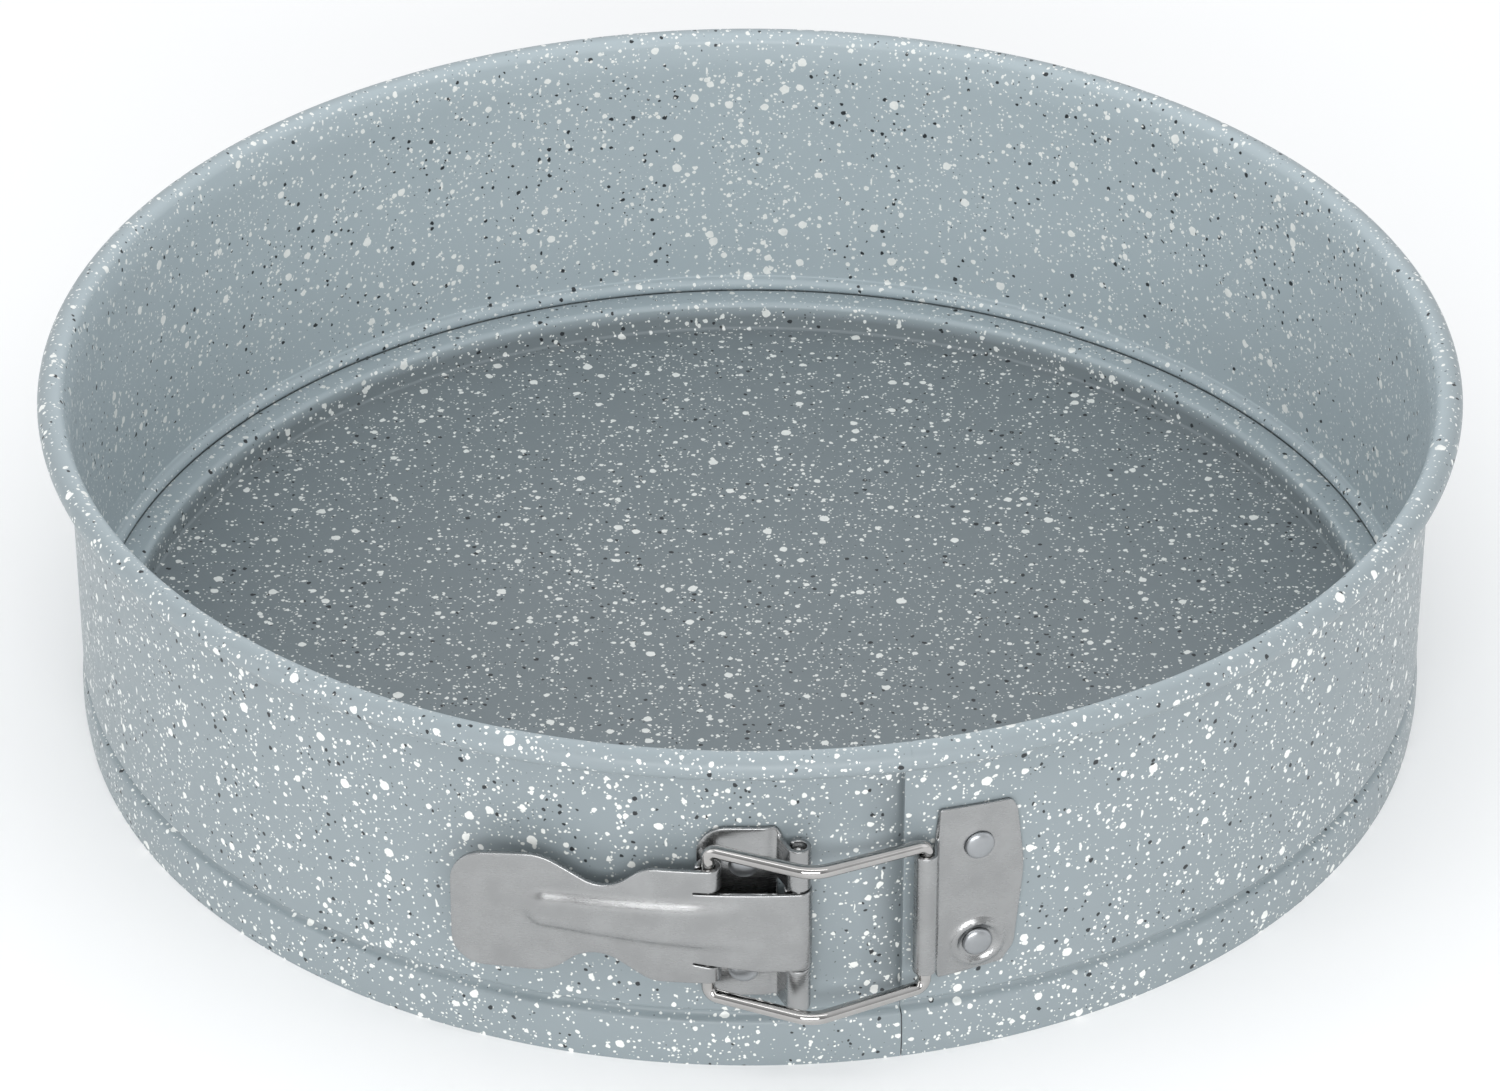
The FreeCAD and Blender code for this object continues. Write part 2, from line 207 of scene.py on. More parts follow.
def pressed_sheet(name, corners, place, thickness, material, rise=None, grid=0.7, edge=0.22):
    """Sheet metal cut to a flat outline and bent by place(u, v, height above the sheet's middle).
    Its edges are rounded, and rise(u, v) embosses it."""
    loop = rounded(corners, 0.45)
    area = sum(p.x * q.y - q.x * p.y for p, q in zip(loop, loop[1:] + loop[:1]))
    if area < 0:
        loop.reverse()
    rings = []
    half = thickness / 2
    for angle in (90.0, 60.0, 30.0, 0.0):
        a = math.radians(angle)
        rings.append((inset(loop, edge * (1 - math.cos(a))), half - edge * (1 - math.sin(a))))
    inner = rings[0][0]
    arr = np.array([list(p) for p in inner])
    lo, hi = arr.min(0), arr.max(0)
    gx, gy = np.meshgrid(np.arange(lo[0], hi[0], grid), np.arange(lo[1], hi[1], grid))
    gx = gx + (np.arange(gx.shape[0]) % 2)[:, None] * grid / 2
    pts = np.stack([gx.ravel(), gy.ravel()], 1)
    pts = pts[inside(arr, pts)]
    gaps = np.linalg.norm(pts[:, None, :] - arr[None], axis=2).min(1)
    pts = pts[gaps > 0.45 * grid]
    flat = [Vector(p) for p in inner] + [Vector(p) for p in pts]
    got = delaunay_2d_cdt(flat, [], [list(range(len(inner)))], 1, 1e-5)
    coords, tris, origin = got[0], got[2], got[3]
    index = {}
    for new, olds in enumerate(origin):
        for old in olds:
            index[old] = new
    border = [index[i] for i in range(len(inner))]

    def lifted(p, h):
        return place(p.x, p.y, h + (rise(p.x, p.y) if rise else 0.0))

    verts = [lifted(p, half) for p in coords]
    faces = [tuple(t) for t in tris]
    top_count = len(verts)
    verts += [lifted(p, -half) for p in coords]
    faces += [tuple(reversed([i + top_count for i in t])) for t in tris]
    above = border
    levels = rings[1:] + [(r, -h) for r, h in reversed(rings[1:-1])]
    for ring, h in levels:
        start = len(verts)
        verts += [lifted(p, h) for p in ring]
        below = list(range(start, start + len(ring)))
        faces += [(above[i - 1], below[i - 1], below[i], above[i]) for i in range(len(ring))]
        above = below
    below = [i + top_count for i in border]
    faces += [(above[i - 1], below[i - 1], below[i], above[i]) for i in range(len(border))]
    return add_mesh(name, verts, faces, material)


def turned(name, profile, axis_point, axis, material, steps=64, sharp=50.0):
    """Solid of revolution: profile of (radius, distance along the axis), both ends on the axis."""
    w = Vector(axis).normalized()
    u = w.orthogonal().normalized()
    v = w.cross(u)
    base = Vector(axis_point)
    verts, rows = [], []
    for radius, along in profile:
        if radius < 1e-6:
            rows.append([len(verts)])
            verts.append(tuple(base + w * along))
            continue
        rows.append(list(range(len(verts), len(verts) + steps)))
        for k in range(steps):
            a = 2 * math.pi * k / steps
            verts.append(tuple(base + w * along + (u * math.cos(a) + v * math.sin(a)) * radius))
    faces = []
    for one, two in zip(rows, rows[1:]):
        for k in range(steps):
            j = (k + 1) % steps
            if len(one) == 1:
                faces.append((one[0], two[k], two[j]))
            elif len(two) == 1:
                faces.append((one[k], one[j], two[0]))
            else:
                faces.append((one[k], one[j], two[j], two[k]))
    return add_mesh(name, verts, faces, material, sharp)


def wire(name, corners, radius, material, sides=28):
    """Round wire along straights with bent corners (x, y, z, bend radius), its ends rounded."""
    line = []
    for i, (x, y, z, bend) in enumerate(corners):
        p = Vector((x, y, z))
        if bend <= 0:
            line.append(p)
            continue
        back = (Vector(corners[i - 1][:3]) - p).normalized()
        ahead = (Vector(corners[i + 1][:3]) - p).normalized()
        half = back.angle(ahead) / 2
        middle = (back + ahead).normalized()
        centre = p + middle * (bend / math.sin(half))
        start = p + back * (bend / math.tan(half))
        axis = ahead.cross(back).normalized()
        sweep = math.pi - 2 * half
        count = max(6, math.ceil(math.degrees(sweep) / 5))
        arm = start - centre
        for k in range(count + 1):
            a = sweep * k / count
            line.append(centre + arm * math.cos(a) + axis.cross(arm) * math.sin(a))
    first = (line[1] - line[0]).normalized()
    side = first.orthogonal().normalized()
    rings = []
    for i, p in enumerate(line):
        along = (line[min(i + 1, len(line) - 1)] - line[max(i - 1, 0)]).normalized()
        side = (side - along * side.dot(along)).normalized()
        other = along.cross(side)
        shares = [(1.0, 0.0)]
        if i == 0:
            shares = [(0.55, -0.32), (0.87, -0.2), (1.0, 0.0)]
        elif i == len(line) - 1:
            shares = [(1.0, 0.0), (0.87, 0.2), (0.55, 0.32)]
        for scale, push in shares:
            mid = p + along * push * radius
            rings.append([mid + (side * math.cos(a) + other * math.sin(a)) * radius * scale
                          for a in (2 * math.pi * k / sides for k in range(sides))])
    verts = [tuple(v) for ring in rings for v in ring]
    faces = []
    for r in range(len(rings) - 1):
        for k in range(sides):
            j = (k + 1) % sides
            faces.append((r * sides + k, r * sides + j, (r + 1) * sides + j, (r + 1) * sides + k))
    faces.append(tuple(reversed(range(sides))))
    faces.append(tuple((len(rings) - 1) * sides + k for k in range(sides)))
    return add_mesh(name, verts, faces, material)


# ---- materials --------------------------------------------------------------------------------
class Shader:
    """A material's node tree, with one call per node."""

    def __init__(self, name):
        self.material = bpy.data.materials.new(name)
        self.material.use_nodes = True
        self.tree = self.material.node_tree
        self.surface = self.tree.nodes["Principled BSDF"]
        coords = self.node("ShaderNodeTexCoord")
        self.place, self.facing = coords.outputs["Object"], coords.outputs["Normal"]

    def node(self, kind, inputs=None, **settings):
        node = self.tree.nodes.new(kind)
        for key, value in settings.items():
            setattr(node, key, value)
        for key, value in (inputs or {}).items():
            self.put(node.inputs[key], value)
        return node

    def put(self, socket, value):
        if isinstance(value, bpy.types.NodeSocket):
            self.tree.links.new(value, socket)
        else:
            socket.default_value = value

    def math(self, operation, a, b=0.0, clamp=False):
        node = self.node("ShaderNodeMath", operation=operation, use_clamp=clamp)
        self.put(node.inputs[0], a)
        self.put(node.inputs[1], b)
        return node.outputs[0]

    def scaled(self, scale, turn=(0.0, 0.0, 0.0), shift=(0.0, 0.0, 0.0)):
        node = self.node("ShaderNodeMapping", {"Vector": self.place, "Location": shift,
                                               "Rotation": turn, "Scale": scale})
        return node.outputs["Vector"]

    def noise(self, vector, scale, detail=2.0, roughness=0.5):
        return self.node("ShaderNodeTexNoise", {"Vector": vector, "Scale": scale, "Detail": detail,
                                                "Roughness": roughness}).outputs["Fac"]

    def spread(self, value, low, high, to_low=0.0, to_high=1.0):
        return self.node("ShaderNodeMapRange", {"Value": value, "From Min": low, "From Max": high,
                                                "To Min": to_low, "To Max": to_high}).outputs[0]

    def mix(self, share, a, b):
        node = self.node("ShaderNodeMix", data_type="RGBA")
        self.put(node.inputs[0], share)
        self.put(node.inputs[6], a)
        self.put(node.inputs[7], b)
        return node.outputs[2]

    def spots(self, vector, cell, share, small, large, soft=0.05, keep=None):
        """Mask of scattered round spots: cell is their spacing, small to large their radii, in
        mm, and share the part of the cells that has one, unless keep gives it."""
        cells = self.node("ShaderNodeTexVoronoi", {"Vector": vector, "Scale": 1.0 / cell,
                                                   "Randomness": 1.0})
        parts = self.node("ShaderNodeSeparateColor", {"Color": cells.outputs["Color"]})
        size = self.math("POWER", parts.outputs[0], 1.8)
        size = self.spread(size, 0.0, 1.0, small / cell, large / cell)
        chosen = self.math("LESS_THAN", parts.outputs[1], share if keep is None else keep)
        size = self.math("MULTIPLY", size, chosen)
        depth = self.math("SUBTRACT", size, cells.outputs["Distance"])
        return self.math("MULTIPLY", depth, cell / soft, clamp=True)

    def bump(self, height, strength, distance):
        return self.node("ShaderNodeBump", {"Height": height, "Strength": strength,
                                            "Distance": distance}).outputs["Normal"]


def grey(level):
    return (level, level, level, 1.0)


def granite_coating(name, painted_light_scale):
    """Blue-grey non-stick coating, thick with white flecks and fewer black ones."""
    s = Shader(name)
    mm = s.scaled((1000.0, 1000.0, 1000.0))
    wander = s.node("ShaderNodeTexNoise", {"Vector": mm, "Scale": 0.9, "Detail": 2.0})
    wander = s.node("ShaderNodeVectorMath", {0: wander.outputs["Color"], 1: (0.5, 0.5, 0.5)},
                    operation="SUBTRACT")
    wander = s.node("ShaderNodeVectorMath", {0: wander.outputs[0]}, operation="SCALE")
    wander.inputs["Scale"].default_value = 0.8
    place = s.node("ShaderNodeVectorMath", {0: mm, 1: wander.outputs[0]},
                   operation="ADD").outputs[0]

    large = s.spots(place, 3.8, 0.45, 0.50, 1.10, 0.09)
    middle = s.spots(place, 1.9, 0.70, 0.28, 0.60, 0.08)
    patchy = s.spread(s.noise(mm, 0.09), 0.38, 0.62, 0.5, 0.95)
    small = s.spots(place, 0.9, 0.6, 0.15, 0.33, 0.07, keep=patchy)
    slanted = s.node("ShaderNodeMapping", {"Vector": place, "Rotation": (0.5, 0.9, 0.4),
                                           "Scale": (1.0, 1.0, 0.28)}).outputs[0]
    streaks = s.spots(slanted, 1.8, 0.4, 0.14, 0.34, 0.08)
    white = s.math("MAXIMUM", s.math("MAXIMUM", large, middle), s.math("MAXIMUM", small, streaks))
    clusters = s.spread(s.noise(mm, 0.06), 0.40, 0.60, 0.12, 0.75)
    dark_place = s.node("ShaderNodeVectorMath", {0: place, 1: (31.0, 17.0, 53.0)},
                        operation="ADD").outputs[0]
    dark = s.spots(dark_place, 2.2, 0.5, 0.30, 0.56, 0.07, keep=clusters)
    specks = s.spots(dark_place, 1.3, 0.3, 0.14, 0.26, 0.07, keep=s.math("MULTIPLY", clusters, 0.7))
    dark = s.math("MAXIMUM", dark, s.math("MULTIPLY", specks, 0.75))

    tone = s.noise(mm, 0.02, 3.0)
    low, high = (0.287, 0.339, 0.360, 1.0), (0.311, 0.359, 0.382, 1.0)
    base = s.mix(tone, low, high)
    # the base colour is scaled by the painted light and shade that painted_light_scale gives
    base = s.node("ShaderNodeVectorMath", {0: base}, operation="SCALE")
    s.put(base.inputs["Scale"], painted_light_scale(s))
    base = base.outputs[0]
    pale = s.mix(s.noise(mm, 0.7), (0.66, 0.68, 0.66, 1.0), (0.90, 0.91, 0.88, 1.0))
    colour = s.mix(dark, base, (0.022, 0.026, 0.030, 1.0))
    colour = s.mix(white, colour, pale)
    s.put(s.surface.inputs["Base Color"], colour)
    rough = s.spread(s.noise(mm, 0.5, 3.0), 0.3, 0.7, 0.36, 0.46)
    s.put(s.surface.inputs["Roughness"], s.math("SUBTRACT", rough, s.math("MULTIPLY", white, 0.06)))
    s.put(s.surface.inputs["Specular IOR Level"], 0.45)
    height = s.math("ADD", s.math("MULTIPLY", s.noise(mm, 1.6, 2.0), 0.5),
                    s.math("MULTIPLY", white, 0.6))
    s.put(s.surface.inputs["Normal"], s.bump(height, 0.35, 0.00006))
    return s.material


def band_painted_light(s):
    """The band's coating with painted light and shade: lighter where it faces into the pan, and
    painted shade darkening the left end's outside where it sinks to the seam.
    """
    split = s.node("ShaderNodeVectorMath", {0: s.place, 1: (1.0, 1.0, 0.0)}, operation="MULTIPLY")
    outward = s.node("ShaderNodeVectorMath", {0: split.outputs[0]}, operation="NORMALIZE")
    facing = s.node("ShaderNodeVectorMath", {0: outward.outputs[0], 1: s.facing},
                    operation="DOT_PRODUCT").outputs["Value"]
    # painted light: the coating's colour is raised where it faces into the pan and lowered where it
    # faces out
    tone = s.spread(facing, -0.5, 0.7, 1.27, 0.83)
    x, y, z = s.node("ShaderNodeSeparateXYZ", {"Vector": s.place}).outputs[:]
    turn = s.math("ARCTAN2", x, s.math("MULTIPLY", y, -1.0))
    # painted shade over the last degrees of the left end's outside before the seam, between the
    # flap's heights; it takes up to 30% off the colour
    near = s.spread(turn, math.radians(SEAM_AZ - 3.6), math.radians(SEAM_AZ))
    left = s.math("LESS_THAN", turn, math.radians(SEAM_AZ))
    window = s.math("MULTIPLY", s.spread(z, 0.0095, 0.0125), s.spread(z, 0.0580, 0.0605, 1.0, 0.0))
    outside = s.math("GREATER_THAN", facing, 0.0)
    seam_shade_mask = s.math("MULTIPLY", s.math("MULTIPLY", near, left), s.math("MULTIPLY", window, outside))
    return s.math("MULTIPLY", tone, s.math("SUBTRACT", 1.0, s.math("MULTIPLY", seam_shade_mask, 0.30)))


def base_painted_light(s):
    """Painted light and shade: the base's floor is coloured darker and its flange lighter, by
    height.
    """
    height = s.node("ShaderNodeSeparateXYZ", {"Vector": s.place}).outputs["Z"]
    return s.spread(height, 0.0035, 0.0062, 0.63, 1.22)


def steel(name, colour, roughness, grain, stretch, depth):
    """Bare steel sheet or wire with a fine grain along one way and slightly uneven gloss."""
    s = Shader(name)
    mm = s.scaled((1000.0, 1000.0, 1000.0))
    lines = s.scaled(stretch)
    cloud = s.noise(mm, 0.16, 3.0)
    scratch = s.noise(lines, 1.0, 4.0, 0.65)
    darker = tuple(c * 0.86 for c in colour[:3]) + (1.0,)
    s.put(s.surface.inputs["Base Color"], s.mix(s.spread(cloud, 0.3, 0.7), darker, colour))
    s.put(s.surface.inputs["Metallic"], 1.0)
    uneven = s.math("ADD", s.math("MULTIPLY", cloud, 0.5), s.math("MULTIPLY", scratch, 0.5))
    s.put(s.surface.inputs["Roughness"],
          s.spread(uneven, 0.3, 0.7, roughness - grain, roughness + grain))
    s.put(s.surface.inputs["Normal"], s.bump(scratch, 0.5, depth))
    return s.material


# ---- ring band --------------------------------------------------------------------------------
def band_path():
    """Centre path of the wall sheet in (radius, z): skirt, holding bead, wall, rolled rim."""
    start, turn = (WALL_R + 0.05, FOOT_Z), 72.0
    lean, rise = math.sin(math.radians(turn)), 1 - math.cos(math.radians(turn))
    moves = [("A", 25.9, 20.0), ("A", 0.7, 62.0), ("L", 0.0), ("A", 1.2, -144.0), ("L", 0.0),
             ("A", 0.7, 72.0)]
    low = Path(start, 80.0, moves[:2]).end
    moves[2] = ("L", (low[0] - BEAD_R - 1.2 * rise) / lean)
    moves[4] = ("L", (WALL_R - BEAD_R - 1.9 * rise) / lean)
    top = Path(start, 80.0, moves).end
    roll_z, roll_mid, flare, flare_r = FOOT_Z + TOTAL_H - ROLL_R, ROLL_R - SHEET / 2, 12.0, 15.0
    c, s = math.cos(math.radians(flare)), math.sin(math.radians(flare))
    roll_start = (RIM_R - ROLL_R - roll_mid * c, roll_z + roll_mid * s)
    slope = (roll_start[0] - WALL_R - flare_r * (1 - c)) / s
    flare_z = roll_start[1] - slope * c - flare_r * s
    moves += [("L", flare_z - top[1]), ("A", flare_r, -flare), ("L", slope),
              ("A", roll_mid, -303.0)]
    return Path(start, 80.0, moves)


BAND = band_path()


def band_shift(az, z):
    """How far the left end of the band is set in, just before the seam and on its flap."""
    window = smooth((z - 10.6) / 2.0) * smooth((60.4 - z) / 2.0)
    t = min(1.0, max(0.0, (az - SEAM_AZ + SINK_AZ) / SINK_AZ))
    dip = SINK * t ** 2.4 - SINK_BACK * smooth((az - SEAM_AZ) / 0.9)
    return -dip * window


def band_arc(name, az0, az1, material, flap=False):
    """Part of the band between two azimuths; with flap, the left end with its inner flap."""
    stations = BAND.stations(8.0, 1.6)
    count = len(stations)
    outer = [BAND.at(s, -SHEET / 2) for s in stations]
    inner = [BAND.at(s, SHEET / 2) for s in stations]
    steps = max(2, math.ceil((az1 - az0) / 0.75))
    columns = [az0 + (az1 - az0) * k / steps for k in range(steps + 1)]
    if flap:
        # closer columns over the joggle
        columns = [a for a in columns if a < SEAM_AZ - 3.2]
        columns += [SEAM_AZ - 3.1 + 0.15 * k for k in range(20)] + [az1]
    rows = [k for k in range(count) if FLAP_Z[0] <= outer[k][1] <= FLAP_Z[1]
            and outer[k][0] < WALL_R + 0.6]
    verts, faces = [], []

    def column(az, picked):
        made = range(len(verts), len(verts) + 2 * len(picked))
        for side in (outer, inner):
            for k in picked:
                r, z = side[k]
                # the two ends butt closely at the rim and leave a thin joint at the foot
                open_joint = abs(az - SEAM_AZ) <= GAP + 1e-6 and z < 10.5
                turn = az + (math.copysign(FOOT_GAP, az - SEAM_AZ) if open_joint else 0.0)
                x, y = on_circle(turn, r + (band_shift(az, z) if flap else 0.0))
                verts.append((x, y, z))
        return made

    def join(a, b):
        n = len(a) // 2
        for k in range(n - 1):
            faces.append((a[k], b[k], b[k + 1], a[k + 1]))
            faces.append((a[n + k + 1], b[n + k + 1], b[n + k], a[n + k]))
        faces.append((a[n], b[n], b[0], a[0]))
        faces.append((a[n - 1], b[n - 1], b[-1], a[-1]))

    def cap(a, skip=()):
        n = len(a) // 2
        for k in range(n - 1):
            if k not in skip:
                faces.append((a[k], a[k + 1], a[n + k + 1], a[n + k]))

    made = [column(az, range(count)) for az in columns]
    for a, b in zip(made, made[1:]):
        join(a, b)
    cap(made[0])
    if flap:
        end = made[-1]
        cap(end, range(rows[0], rows[-1]))
        tips = [[end[k] for k in rows] + [end[count + k] for k in rows]]
        tips += [column(az1 + (FLAP_AZ - az1) * k / 8, rows) for k in range(1, 9)]
        for a, b in zip(tips, tips[1:]):
            join(a, b)
        cap(tips[-1])
    else:
        cap(made[-1])
    return add_mesh(name, verts, faces, material, 60.0)


# ---- base -------------------------------------------------------------------------------------
def base_profile():
    """Closed half-section of the base: floor, step and flange with a rounded outer edge."""
    start = (FLANGE_R - FLOOR_T / 2, FLANGE_TOP - FLOOR_T / 2)
    moves = [("L", start[0] - STEP_R - 0.1), ("A", 0.9, 84.0), ("L", 4.35), ("A", 1.1, -84.0)]
    end = Path(start, 180.0, moves).end
    moves[2] = ("L", 4.35 + (end[1] - FLOOR_T / 2) / math.sin(math.radians(84.0)))
    end = Path(start, 180.0, moves).end
    path = Path(start, 180.0, moves + [("L", end[0])])
    stations = path.stations(8.0, 12.0)
    half = FLOOR_T / 2
    under = [path.at(s, half) for s in stations]
    over = [path.at(s, -half) for s in stations]
    rounding = [(start[0] + half * math.sin(a), start[1] + half * math.cos(a))
                for a in (math.pi * k / 8 for k in range(1, 8))]
    return [(r if r > 1e-4 else 0.0, z) for r, z in over[::-1] + rounding + under]


# ---- clasp ------------------------------------------------------------------------------------
def lead_in(target, heading, bend, side):
    """Where a sheet lying on the wall bends off it, and the straight's length up to target."""
    h = math.radians(heading)
    u, n = (math.cos(h), math.sin(h)), (-side * math.sin(h), side * math.cos(h))
    base = (target[0] + bend * n[0], target[1] + bend * n[1])
    b = base[0] * u[0] + base[1] * u[1]
    root = math.sqrt(b * b - base[0] ** 2 - base[1] ** 2 + (PLATE_PR + bend) ** 2)
    s = min((-b - root, -b + root), key=abs)
    return azimuth((base[0] + s * u[0], base[1] + s * u[1])), -s


def hook_path(first_az, turned_by, heading, bend, side, target, curl, sweep):
    """Path of a riveted plate and its curl, and the length at which it leaves the wall."""
    az_bend, straight = lead_in(target, heading, bend, side)
    start = on_circle(first_az, PLATE_PR)
    turn = heading - (az_bend + turned_by)
    moves = [("A", PLATE_PR, az_bend - first_az), ("A", bend, turn), ("L", straight),
             ("A", curl, sweep)]
    path = Path(start, first_az + turned_by, moves)
    return path, path.runs[1][0]


def make_bracket(material):
    """Plate riveted on the left of the lap; two strips curl round the hinge pin."""
    pin = at_x(*PIN)
    curl, heading = PIN_R + 0.05 + PLATE_T / 2, -65.0
    h = math.radians(heading)
    target = (pin[0] + curl * math.sin(h), pin[1] - curl * math.cos(h))
    path, bend = hook_path(math.degrees(math.asin(-9.5 / PLATE_PR)), 0.0, heading, 1.0, -1, target,
                           curl, 292.0)
    tip = path.length
    u0 = 0.1                                # clear of the plate's first point
    corners = [(u0, 13.7, 4.5), (bend + 0.2, 13.7, 0.4), (bend + 1.0, 13.2, 0.4), (tip, 13.2, 0.7),
               (tip, 22.0, 0.7), (bend + 0.5, 22.0, 0.7), (bend + 0.5, 39.3, 0.7), (tip, 39.3, 0.7),
               (tip, 48.0, 0.7), (bend + 1.4, 48.0, 0.9), (bend + 0.2, 50.0, 1.2), (u0, 50.0, 5.5)]

    def rise(u, v):
        """The plate stands a little proud and comes down to the wall's curve at its bend."""
        return 0.42 * smooth((bend - u) / 2.0)

    return pressed_sheet("hinge_plate", corners, lambda u, v, h: path.at(u, -h) + (v,), PLATE_T,
                         material, rise, 0.55)


def make_catch(material):
    """Plate riveted on the right of the lap; its edge curls round the bail."""
    leg = at_x(*CATCH)
    curl, heading = WIRE_R + RUN + PLATE_T / 2, 268.0
    h = math.radians(heading)
    target = (leg[0] - curl * math.sin(h), leg[1] + curl * math.cos(h))
    path, bend = hook_path(22.4, 180.0, heading, 1.0, 1, target, curl, -300.0)
    tip = path.length

    def u(x):
        return path.where_x(x, 0.0, bend)

    z0, z1 = 18.8, 44.2
    corners = [(tip, z0, 0.6), (bend + 0.9, z0, 0.7), (bend + 0.3, 14.0, 0.5), (u(44.9), 15.3, 1.2),
               (u(47.0), 18.5, 3.0), (u(48.6), 35.5, 30.0), (u(47.2), 48.0, 3.0),
               (u(46.2), 50.3, 1.5), (bend + 0.3, 50.5, 0.5), (bend + 0.9, z1, 0.7), (tip, z1, 0.6)]

    low_rivet, high_rivet = RIVETS["catch_rivet_lower"], RIVETS["catch_rivet_upper"]

    def rise(s, v):
        """A deep ring pressed round the lower rivet and a faint one round the upper."""
        if s > bend:
            return 0.0
        x = path.at(s)[0]
        lower = math.hypot(x - low_rivet[0], v - low_rivet[1])
        upper = math.hypot(x - high_rivet[0], v - high_rivet[1])
        swell = 0.75 * (smooth((5.5 - lower) / 1.4) - smooth((4.3 - lower) / 1.3))
        swell += 0.16 * (smooth((4.0 - upper) / 0.8) - smooth((3.3 - upper) / 0.6))
        return swell * smooth((bend - s) / 1.5)

    return pressed_sheet("catch_hook", corners, lambda s, v, h: path.at(s, h) + (v,), PLATE_T,
                         material, rise, 0.5)


def lever_path(centre, curl, sweep, moves):
    """Path from inside a curl round centre out along the lever, toward the thumb tab."""
    heading = 180.0 + azimuth(centre) + sweep
    h = math.radians(heading)
    start = (centre[0] - curl * math.sin(h), centre[1] + curl * math.cos(h))
    return Path(start, heading, [("A", curl, -sweep)] + moves)


def make_lever(material):
    """One pressed plate: thumb tab, waist, two shoulders curled round the bail, and a tongue curled
    round the pin.  u runs toward +x from where the tongue's curl begins."""
    pin, leg = at_x(*PIN), at_x(*LEG)
    body = lever_path(pin, PIN_R + RUN + LEVER_T / 2, 290.0,
                      [("A", LEVER_PR, -(azimuth(pin) + 13.0)), ("A", 60.0, 3.5), ("L", 19.5)])
    arm = lever_path(leg, WIRE_R + RUN + LEVER_T / 2, 285.0, [("A", LEVER_PR, -40.0)])
    body_0, arm_0 = body.runs[1][0], arm.runs[1][0]
    u_leg = -LEVER_PR * math.radians(azimuth(pin) - azimuth(leg))

    def u(x):
        return body_0 - body.where_x(x, body_0, body.length)

    arm_tip, tip = u_leg + arm_0, body_0
    split = u(-10.0)
    corners = [
        (u(-52.9), 19.4, 6.0), (u(-35.5), 19.4, 9.0), (u(-27.4), 26.4, 7.0), (u(-17.4), 19.7, 6.0),
        (arm_tip, 19.7, 0.5), (arm_tip, 21.95, 0.5), (u(-7.4), 23.2, 1.5), (split, 23.75, 0.12),
        (split, 24.05, 0.12), (u(2.0), 22.3, 4.0), (tip, 22.3, 0.5), (tip, 39.0, 0.5),
        (split, 39.0, 0.12), (split, 39.35, 0.12), (arm_tip, 39.35, 0.5), (arm_tip, 43.9, 0.5),
        (u(-18.6), 43.9, 6.0), (u(-25.4), 38.1, 7.0), (u(-37.0), 44.6, 9.0), (u(-52.9), 43.3, 6.5)]

    def place(s, v, h):
        """The shoulders' ends follow their own curl, and all the rest the tongue's."""
        if s > u_leg and not 23.45 - (s - u_leg) * 0.143 < v < 39.2:
            return arm.at(arm_0 - (s - u_leg), h) + (v,)
        return body.at(body_0 - s, h) + (v,)

    def rise(s, v):
        """Long rib, round at the thumb end and fading out on the tongue."""
        if s > 0 or (s > u_leg and not 24.0 < v < 39.2):
            return 0.0
        x = body.at(body_0 - s)[0]
        t = (x + 36.0) / 26.0
        middle, half = 33.2 - 0.6 * t, 4.6 + 1.1 * max(0.0, t)
        if t < 0:
            depth = half - math.hypot(x + 36.0, v - middle)
        else:
            depth = half - abs(v - middle)
        slope = 2.2 + 1.2 * smooth((v - middle + 1.5) / 3.0)      # steeper along its lower edge
        return 0.95 * smooth(depth / slope) * (1 - smooth((x + 11.0) / 13.0))

    return pressed_sheet("clasp_lever", corners, place, LEVER_T, material, rise, 0.5, 0.25)


def make_bail(material):
    """The wire's chevron loop.  Its two ends go a little way into the catch's curl."""
    leg, catch = at_x(*LEG), at_x(*CATCH)
    low, high = BAIL_LOW, BAIL_HIGH
    end = CORNER_BEND + 2.0
    corners = [catch + (low[2] + end, 0), catch + (low[2], CORNER_BEND),
               APEX + (low[1], CREST_BEND),
               leg + (low[0], CORNER_BEND), leg + (high[0], CORNER_BEND),
               APEX + (high[1], CREST_BEND),
               catch + (high[2], CORNER_BEND), catch + (high[2] - end, 0)]
    return wire("clasp_bail", corners, WIRE_R, material)


def make_rivet(name, material):
    """Domed head outside the plate, shank and flat tail inside the wall."""
    x, z = RIVETS[name]
    p = at_x(x, PLATE_PR)
    out = Vector((p[0], p[1], 0)).normalized()
    face, inner = PLATE_T / 2, WALL_R - SHEET / 2 - 0.03 - PLATE_PR
    tail = [(0.0, -0.55), (1.9, -0.5), (2.25, -0.25), (2.3, 0.0), (1.3, 0.0)]
    head = [(1.3, 0.0), (2.6, 0.0), (2.78, 0.15), (2.76, 0.34), (2.55, 0.60), (2.15, 0.82),
            (1.6, 0.98), (0.9, 1.08), (0.0, 1.12)]
    profile = [(r, inner + h) for r, h in tail] + [(r, face + h) for r, h in head]
    return turned(name + "_head", profile, (p[0], p[1], z), out, material, 48)


def make_pin(material):
    x, y = at_x(*PIN)
    z0, z1, r = 14.4, 46.8, PIN_R
    profile = [(0.0, z0), (r * 0.7, z0), (r * 0.93, z0 + 0.15), (r, z0 + 0.4), (r, z1 - 0.4),
               (r * 0.93, z1 - 0.15), (r * 0.7, z1), (0.0, z1)]
    return turned("pin_rod", profile, (x, y, 0), (0, 0, 1), material, 40)


# ---- the object -------------------------------------------------------------------------------
band_coating = granite_coating("granite_coating", band_painted_light)
base_coating = granite_coating("granite_coating_base", base_painted_light)
